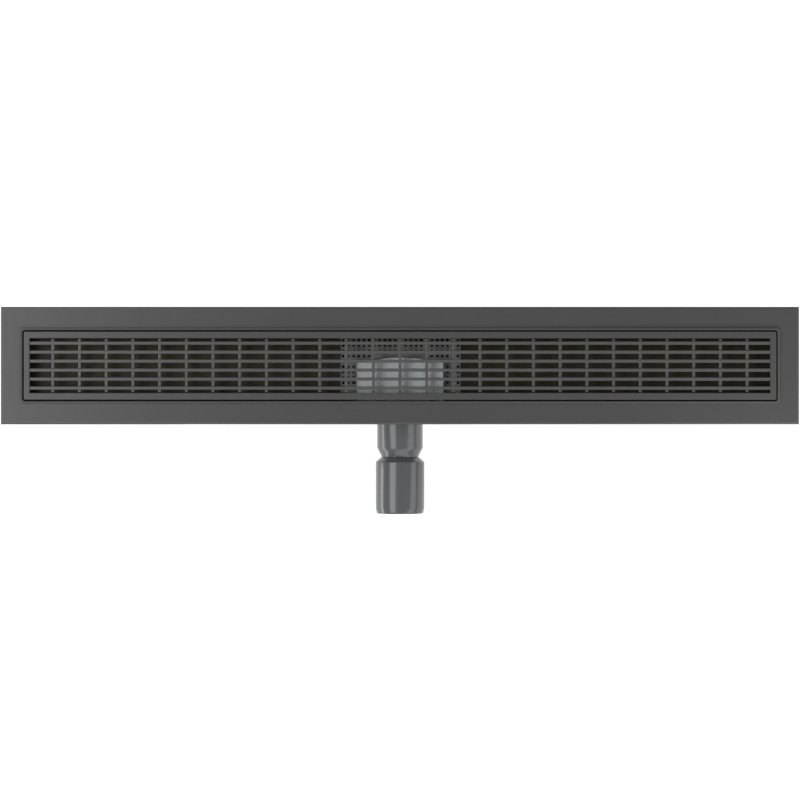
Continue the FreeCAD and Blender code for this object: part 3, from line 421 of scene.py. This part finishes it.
def thread_rings(low, high, radius, pitch, middle, chamfer):
    """Rings of a threaded rod with chamfered ends; each ring's radius follows the helix."""
    depth = pitch * 0.54
    rows_per_turn, count = 8, 28
    rows = max(2, int((high - low) / pitch * rows_per_turn))
    rings = []
    for row in range(rows + 1):
        z = low + (high - low) * row / rows
        end = min(z - low, high - z)

        def radius_at(angle, z=z, end=end):
            phase = (z / pitch - angle / (2 * math.pi)) % 1.0
            tooth = min(1.0, max(0.0, abs(2 * phase - 1) * 1.35 - 0.15))
            return min(radius - depth * tooth, radius - chamfer + end)

        rings.append(ring(middle, z, radius_at, count))
    return rings


def nut_rings(middle, low, high, across, bore, collar=None):
    """Rings of a hexagon nut, its corners chamfered top and bottom, or with a round collar on top."""
    corner = across / 2 / math.cos(math.pi / 6)
    face = across * 0.47
    chamfer_slope = 0.577
    rise = (corner - face) * chamfer_slope
    steps, count = 7, 72

    def hexagon(limit):
        def radius_at(angle):
            turn = (angle + math.pi / 6) % (math.pi / 3) - math.pi / 6
            return min(across / 2 / math.cos(turn), limit)
        return radius_at

    def circle(radius):
        return lambda angle: radius

    def chamfered(i):
        return hexagon(face + (corner - face) * i / steps)

    rows = [(low + rise * i / steps, chamfered(i)) for i in range(steps + 1)]
    if collar:
        diameter, thickness = collar
        edge_round = 0.0003
        rows += [(high - thickness, hexagon(corner)),
                 (high - thickness, circle(diameter / 2 - edge_round)),
                 (high - thickness + edge_round, circle(diameter / 2)),
                 (high, circle(diameter / 2))]
    else:
        rows += [(high - rise * i / steps, chamfered(i)) for i in range(steps, -1, -1)]
    lead = bore * 0.06
    rows += [(high, circle(bore / 2 + lead)), (high - lead, circle(bore / 2)),
             (low + lead, circle(bore / 2)), (low, circle(bore / 2 + lead))]
    return [ring(middle, z, radius_at, count) for z, radius_at in rows]


def soften(node, material, width, segments=2):
    """Give a CAD node its finish and break its sharp edges."""
    piece = NODES[node]
    piece.material_slots[0].material = material
    weld = piece.modifiers.new("join_corners", "WELD")
    weld.merge_threshold = 1e-6
    bevel = piece.modifiers.new("edge_break", "BEVEL")
    bevel.width = width
    bevel.segments = segments
    bevel.limit_method = "ANGLE"
    bevel.angle_limit = math.radians(30)
    bevel.harden_normals = True
    bevel.use_clamp_overlap = True


def nodes_named(prefix):
    return sorted(name for name in NODES if name.startswith(prefix))


# ---- the pieces --------------------------------------------------------------------------


def in_trough(finish):
    """1 on the walls and the sloping floor inside the trough, where painted shade goes, 0 on the flange and
    all the outside.
    """
    low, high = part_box("channel_body")
    margin, below_rim = 0.00005, 0.0015
    trough_end = high.x - FLANGE_AND_RIM + margin
    corner = Vector((trough_end, TROUGH_HALF_WIDTH + margin, -below_rim))
    beyond_flat = abs(finish.axis("X")) - FLAT_FLOOR_HALF
    rise = beyond_flat.math("MAXIMUM", beyond_flat, 0) * FLOOR_SLOPE
    above_underside = rise - finish.axis("Z") < -low.z - 0.75 * SHEET
    return finish.within(low, corner) * above_underside


def finish_channel():
    # the trough's inside gets painted shade in the trough colour
    coat = powder_coat("channel_powder_coat", colours().coating, 0.36, colours().trough, in_trough)
    soften("channel_body", coat, sizes().edge_break)


def finish_grate():
    soften("grate_frame", powder_coat("grate_powder_coat", colours().grate, 0.33), sizes().edge_break)
    coat = powder_coat("slat_powder_coat", colours().slats, 0.33)
    for node in nodes_named("slat_"):
        soften(node, coat, sizes().slat_rounding, 3)
    for node in nodes_named("cross_bar_"):
        soften(node, coat, sizes().bar_rounding, 4)


def strainer_holes():
    """Middles of the holes: one grid, without those that the insert and its finger lip need."""
    low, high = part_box("strainer_plate")
    insert_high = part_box("trap_insert")[1]
    middle = Vector(((low.x + high.x) / 2, (low.y + high.y) / 2))
    clearance = sizes().hole_clearance
    lip_half = LIP_WIDTH / 2
    insert_back = insert_high.y - LIP_REACH - LIP_BOW
    holes = []
    columns = int(((high.x - low.x) / 2 - clearance / 2) / sizes().hole_pitch_long)
    rows = int(((high.y - low.y) / 2 - clearance / 2) / sizes().hole_pitch_cross)
    for row in range(1 - rows, rows + 1):
        y = middle.y + row * sizes().hole_pitch_cross - sizes().hole_row_shift
        for column in range(-columns, columns + 1):
            x = middle.x + column * sizes().hole_pitch_long
            beside_insert = abs(x) > insert_high.x + clearance
            behind_insert = y > insert_back + clearance and abs(x) > lip_half + clearance
            if beside_insert or behind_insert or y > insert_high.y + clearance:
                holes.append((x, y))
    return holes


def add_loop(curve, points):
    """A closed straight-sided loop of a flat curve."""
    spline = curve.splines.new("POLY")
    spline.points.add(len(points) - 1)
    for point, (x, y) in zip(spline.points, points):
        point.co = (x, y, 0, 1)
    spline.use_cyclic_u = True


def strainer_outline():
    """The plate's edge with the cut-out for the insert and the bow for its finger lip."""
    low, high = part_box("strainer_plate")
    insert_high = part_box("trap_insert")[1]
    side = insert_high.x + CUT_OUT_GAP
    back = insert_high.y - LIP_REACH - LIP_BOW + CUT_OUT_GAP
    lip_half = LIP_WIDTH / 2 + CUT_OUT_GAP
    shoulder = back + LIP_REACH
    crown = insert_high.y + CUT_OUT_GAP
    points = [(low.x, low.y), (-side, low.y), (-side, back), (-lip_half, back)]
    steps = 16
    for i in range(steps + 1):
        share = 2 * i / steps - 1
        points.append((lip_half * share, crown - (crown - shoulder) * share * share))
    points += [(lip_half, back), (side, back), (side, low.y), (high.x, low.y)]
    corner_steps = 6
    for middle_x, start in ((high.x - PLATE_CORNER, 0), (low.x + PLATE_CORNER, 1)):
        for i in range(corner_steps + 1):
            angle = math.pi / 2 * (start + i / corner_steps)
            y = high.y - PLATE_CORNER + PLATE_CORNER * math.sin(angle)
            points.append((middle_x + PLATE_CORNER * math.cos(angle), y))
    return points


def punch_strainer():
    """The strainer plate with round punched holes, rolled over at their rims."""
    low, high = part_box("strainer_plate")
    edge = sizes().plate_edge
    curve = bpy.data.curves.new("strainer_shape", "CURVE")
    curve.dimensions = "2D"
    curve.fill_mode = "BOTH"
    curve.extrude = (high.z - low.z) / 2 - edge
    curve.bevel_depth = edge
    curve.bevel_resolution = 1
    curve.offset = -edge
    add_loop(curve, strainer_outline())
    radius, hole_sides = sizes().hole_diameter / 2, 20
    for x, y in strainer_holes():
        add_loop(curve, [(x + radius * math.cos(a), y + radius * math.sin(a)) for a in angles(hole_sides)])
    shape = bpy.data.objects.new("strainer_shape", curve)
    bpy.context.scene.collection.objects.link(shape)
    bpy.context.view_layer.update()
    data = bpy.data.meshes.new_from_object(shape)
    bpy.data.objects.remove(shape)
    for vertex in data.vertices:
        vertex.co.z += (low.z + high.z) / 2
    data.shade_smooth()
    data.set_sharp_from_angle(angle=math.radians(50))
    coat = powder_coat("strainer_coat", colours().strainer, 0.38)
    piece = new_piece("punched_strainer", data, coat)
    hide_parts("strainer_plate")


def finish_insert():
    plastic = moulded_plastic("insert_plastic", colours().insert, 0.42)
    soften("trap_insert", plastic, sizes().moulded_edge / 2)


def finish_housing():
    low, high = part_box("trap_body")
    wall_margin, floor_margin = 0.0003, 0.0001
    half_length = CAVITY_HALF_LENGTH + wall_margin
    half_width = CAVITY_HALF_WIDTH + wall_margin
    floor = low.z + HOUSING_WALL - floor_margin
    painted_shade_box = (Vector((-half_length, -half_width, floor)), Vector((half_length, half_width, high.z)))
    parting = centre("outlet_spigot").z
    # the housing's cavity gets painted shade
    plastic = moulded_plastic("housing_plastic", colours().pipe, 0.19, parting, painted_shade_box)
    soften("trap_body", plastic, sizes().moulded_edge)


def finish_spigot():
    plastic = moulded_plastic("spigot_plastic", colours().pipe, 0.15)
    soften("outlet_spigot", plastic, sizes().moulded_edge)


def finish_seals():
    seal = rubber("seal_rubber", colours().rubber)
    for node in ("trap_gasket", "insert_seal", "outlet_seal"):
        soften(node, seal, sizes().edge_break)


def zinc_piece(name, skins, zinc, body=ROOT):
    return new_piece(name, mesh_from(name, skins), zinc, body)


def build_trap_fasteners():
    """The threaded weld studs and the flange nuts that clamp the trap housing."""
    zinc = zinc_plate("fastener_zinc", colours().zinc)
    stud_low, stud_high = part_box("trap_studs")
    corner = Vector((stud_high.x - STUD_RADIUS, stud_high.y - STUD_RADIUS))
    middles = [Vector((x * corner.x, y * corner.y)) for x in (-1, 1) for y in (-1, 1)]
    pitch = sizes().stud_thread_pitch
    skins = [(thread_rings(stud_low.z, stud_high.z, STUD_RADIUS, pitch, middle, STUD_CHAMFER), False)
             for middle in middles]
    studs = zinc_piece("threaded_weld_studs", skins, zinc)
    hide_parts("trap_studs")
    nut_low, nut_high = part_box("trap_nuts")
    bore = 2 * STUD_RADIUS + THREAD_PLAY
    skins = [(nut_rings(middle, nut_low.z, nut_high.z, NUT_ACROSS, bore, NUT_COLLAR), True)
             for middle in middles]
    nuts = zinc_piece("flange_nuts", skins, zinc)
    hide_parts("trap_nuts")


def weld_bead(start, end, radius):
    """Rings of a weld bead from start to end, rippled like a row of overlapping puddles."""
    along = end - start
    puddle, ripple_depth, end_size = radius * 0.9, 0.14, 0.35
    ripples = max(2, int(along.length / puddle))
    rows_per_ripple, count = 4, 14
    rows = ripples * rows_per_ripple
    rings = []
    for row in range(rows + 1):
        share = row / rows
        ripple = 1 - ripple_depth + ripple_depth * abs(math.sin(math.pi * share * ripples))
        taper = min(1.0, end_size + 4 * min(share, 1 - share) * along.length / (radius * 6))
        size = radius * ripple * taper
        middle = start + along * share
        rings.append([middle + Vector((size * math.cos(a), 0, size * math.sin(a))) for a in angles(count)])
    return rings


def weld_brackets(zinc):
    """Finish the bracket straps and lay a weld bead along each edge that crosses under the trough."""
    radius = sizes().weld_radius
    inner_sink, outer_sink = 0.35, 0.2
    beads = []
    for node in nodes_named("levelling_bracket"):
        soften(node, zinc, sizes().edge_break)
        low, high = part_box(node)
        inner = low.x if low.x > 0 else high.x
        for edge in (low.x, high.x):
            z = high.z - radius * (inner_sink if edge == inner else outer_sink)
            start = Vector((edge, -BRACKET_WELD_HALF, z))
            beads.append((weld_bead(start, Vector((edge, BRACKET_WELD_HALF, z)), radius), False))
    zinc_piece("bracket_welds", beads, zinc)


def build_feet():
    """The levelling feet: straps with weld beads, threaded studs, moulded pads and lock nuts."""
    zinc = zinc_plate("foot_zinc", colours().zinc)
    plastic = moulded_plastic("foot_plastic", colours().foot, 0.5)
    weld_brackets(zinc)
    pitch = sizes().foot_thread_pitch
    lock_low, lock_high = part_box("foot_lock_nuts")
    nuts = []
    for index in FEET:
        rod, pad = f"foot_stud_{index}", f"foot_pad_{index}"
        low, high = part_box(rod)
        middle = (low + high) / 2
        radius = (high.x - low.x) / 2
        rings = thread_rings(low.z, high.z, radius, pitch, middle, FOOT_STUD_CHAMFER)
        stud = zinc_piece(f"threaded_foot_stud_{index}", [(rings, False)], zinc, f"foot_{index}")
        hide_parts(rod)
        soften(pad, plastic, sizes().moulded_edge)
        bore = 2 * radius + THREAD_PLAY
        nuts.append((nut_rings(middle, lock_low.z, lock_high.z, LOCK_NUT_ACROSS, bore), True))
    lock_nuts = zinc_piece("hexagon_lock_nuts", nuts, zinc)
    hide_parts("foot_lock_nuts")


# ---- the studio --------------------------------------------------------------------------


# Each light's name, place, the point it faces, width, height and the setting of its radiance.
SOFTBOXES = (
    ("left_softbox", (-0.98, -0.1, 1.26), (0, 0, 0), 1.9, 0.76, "left_box"),
    ("left_fill", (-0.85, 0.0, 2.7), (-0.3, 0.0, 0.0), 1.6, 0.7, "left_fill"),
    ("left_strip", (-0.22, -0.218, -0.05), (0, -0.218, -0.05), 0.3, 0.06, "left_strip"),
    ("right_softbox", (1.45, -0.3, 0.68), (0, 0, 0), 1.6, 0.8, "right_box"),
    ("front_softbox", (0.45, -1.45, 1.0), (0.1, 0, 0), 2.4, 0.9, "front_box"),
    ("corner_box", (0.43, -0.24, 0.13), (0.4, -0.06, 0), 0.22, 0.1, "corner_box"),
)
NOT_REFLECTED = ("corner_box",)


def add_softbox(name, place, target, width, height, strength):
    """A rectangular light, width along the floor, facing a target; its power follows its radiance."""
    light = bpy.data.lights.new(name, "AREA")
    light.shape = "RECTANGLE"
    light.size = width
    light.size_y = height
    light.energy = strength * math.pi * width * height
    lamp = bpy.data.objects.new(name, light)
    bpy.context.scene.collection.objects.link(lamp)
    lamp.location = place
    lamp.rotation_euler = (Vector(target) - Vector(place)).to_track_quat("-Z", "Y").to_euler()
    lamp.visible_camera = False
    lamp.visible_glossy = name not in NOT_REFLECTED


def add_floor(studio):
    """A plain grey floor that glows by itself, so that it stays white round the part."""
    level = CAD_BOX[0][2] - studio.floor_drop
    half = 6.0
    corners = ((-half, -half, level), (half, -half, level), (half, half, level), (-half, half, level))
    data = bpy.data.meshes.new("studio_floor")
    data.from_pydata(corners, [], [(0, 1, 2, 3)])
    floor = bpy.data.objects.new("studio_floor", data)
    bpy.context.scene.collection.objects.link(floor)
    finish = Finish("studio_floor")
    paper = finish.mottle(finish.noise(0.4, 2.0), colours().floor, 0.02)
    data.materials.append(finish.surface(Base_Color=paper, Roughness=0.9, Emission_Color=(1.0, 1.0, 1.0),
                                         Emission_Strength=studio.floor_glow))


def build_studio():
    studio = bpy.context.scene.studio
    add_floor(studio)
    for name, place, target, width, height, setting in SOFTBOXES:
        add_softbox(name, place, target, width, height, getattr(studio, setting))

    world = bpy.data.worlds.new("studio_sky")
    world.use_nodes = True
    background = world.node_tree.nodes["Background"]
    background.inputs["Color"].default_value = (1, 1, 1, 1)
    background.inputs["Strength"].default_value = studio.sky
    bpy.context.scene.world = world

    camera = bpy.data.cameras.new("overhead_camera")
    camera.lens = studio.camera_lens
    camera.sensor_width = 36.0
    camera.clip_end = 20
    view = bpy.data.objects.new("overhead_camera", camera)
    view.location = (0, -studio.camera_offset, studio.camera_height)
    bpy.context.scene.collection.objects.link(view)
    bpy.context.scene.camera = view
    bpy.context.scene.view_settings.view_transform = "Standard"


# ---- operators and panel -----------------------------------------------------------------


class DRAIN_OT_channel(bpy.types.Operator):
    """Coat the folded channel"""
    bl_idname = "drain.channel"
    bl_label = "Channel"

    def execute(self, context):
        finish_channel()
        return {"FINISHED"}


class DRAIN_OT_grate(bpy.types.Operator):
    """Coat and soften the grate's frame, slats and cross bars"""
    bl_idname = "drain.grate"
    bl_label = "Grate"

    def execute(self, context):
        finish_grate()
        return {"FINISHED"}


class DRAIN_OT_strainer(bpy.types.Operator):
    """Punch the strainer plate's round holes"""
    bl_idname = "drain.strainer"
    bl_label = "Strainer plate"

    def execute(self, context):
        punch_strainer()
        return {"FINISHED"}


class DRAIN_OT_insert(bpy.types.Operator):
    """Finish the lift-out trap insert"""
    bl_idname = "drain.insert"
    bl_label = "Trap insert"

    def execute(self, context):
        finish_insert()
        return {"FINISHED"}


class DRAIN_OT_housing(bpy.types.Operator):
    """Finish the trap housing and its outlet tube"""
    bl_idname = "drain.housing"
    bl_label = "Trap housing"

    def execute(self, context):
        finish_housing()
        return {"FINISHED"}


class DRAIN_OT_spigot(bpy.types.Operator):
    """Finish the outlet spigot"""
    bl_idname = "drain.spigot"
    bl_label = "Outlet spigot"

    def execute(self, context):
        finish_spigot()
        return {"FINISHED"}


class DRAIN_OT_seals(bpy.types.Operator):
    """Finish the gasket and the seal rings"""
    bl_idname = "drain.seals"
    bl_label = "Seals"

    def execute(self, context):
        finish_seals()
        return {"FINISHED"}


class DRAIN_OT_trap_fasteners(bpy.types.Operator):
    """Thread the weld studs and shape the flange nuts"""
    bl_idname = "drain.trap_fasteners"
    bl_label = "Trap fasteners"

    def execute(self, context):
        build_trap_fasteners()
        return {"FINISHED"}


class DRAIN_OT_feet(bpy.types.Operator):
    """Build the levelling feet with their threads, nuts and welds"""
    bl_idname = "drain.feet"
    bl_label = "Levelling feet"

    def execute(self, context):
        build_feet()
        return {"FINISHED"}


class DRAIN_OT_studio(bpy.types.Operator):
    """Set up the floor, the lights and the camera"""
    bl_idname = "drain.studio"
    bl_label = "Studio"

    def execute(self, context):
        build_studio()
        return {"FINISHED"}


OPERATORS = (DRAIN_OT_channel, DRAIN_OT_grate, DRAIN_OT_strainer, DRAIN_OT_insert, DRAIN_OT_housing,
             DRAIN_OT_spigot, DRAIN_OT_seals, DRAIN_OT_trap_fasteners, DRAIN_OT_feet, DRAIN_OT_studio)
GROUPS = (("drain_sizes", DrainSizes), ("drain_colours", DrainColours), ("studio", StudioSettings))


class DRAIN_PT_panel(bpy.types.Panel):
    """Lists the drain's pieces and settings"""
    bl_idname = "DRAIN_PT_panel"
    bl_label = "Channel Drain"
    bl_space_type = "VIEW_3D"
    bl_region_type = "UI"
    bl_category = "Channel Drain"

    def draw(self, context):
        for operator in OPERATORS:
            self.layout.operator(operator.bl_idname)
        for name, group in GROUPS:
            settings = getattr(context.scene, name)
            box = self.layout.box()
            for key in group.__annotations__:
                box.prop(settings, key)


def register():
    for name, group in GROUPS:
        bpy.utils.register_class(group)
        setattr(bpy.types.Scene, name, PointerProperty(type=group))
    for operator in OPERATORS:
        bpy.utils.register_class(operator)
    bpy.utils.register_class(DRAIN_PT_panel)


def unregister():
    bpy.utils.unregister_class(DRAIN_PT_panel)
    for operator in reversed(OPERATORS):
        bpy.utils.unregister_class(operator)
    for name, group in reversed(GROUPS):
        delattr(bpy.types.Scene, name)
        bpy.utils.unregister_class(group)


def main():
    register()
    bpy.ops.drain.channel()
    bpy.ops.drain.grate()
    bpy.ops.drain.strainer()
    bpy.ops.drain.insert()
    bpy.ops.drain.housing()
    bpy.ops.drain.spigot()
    bpy.ops.drain.seals()
    bpy.ops.drain.trap_fasteners()
    bpy.ops.drain.feet()
    bpy.ops.drain.studio()


if __name__ == "__main__":
    main()
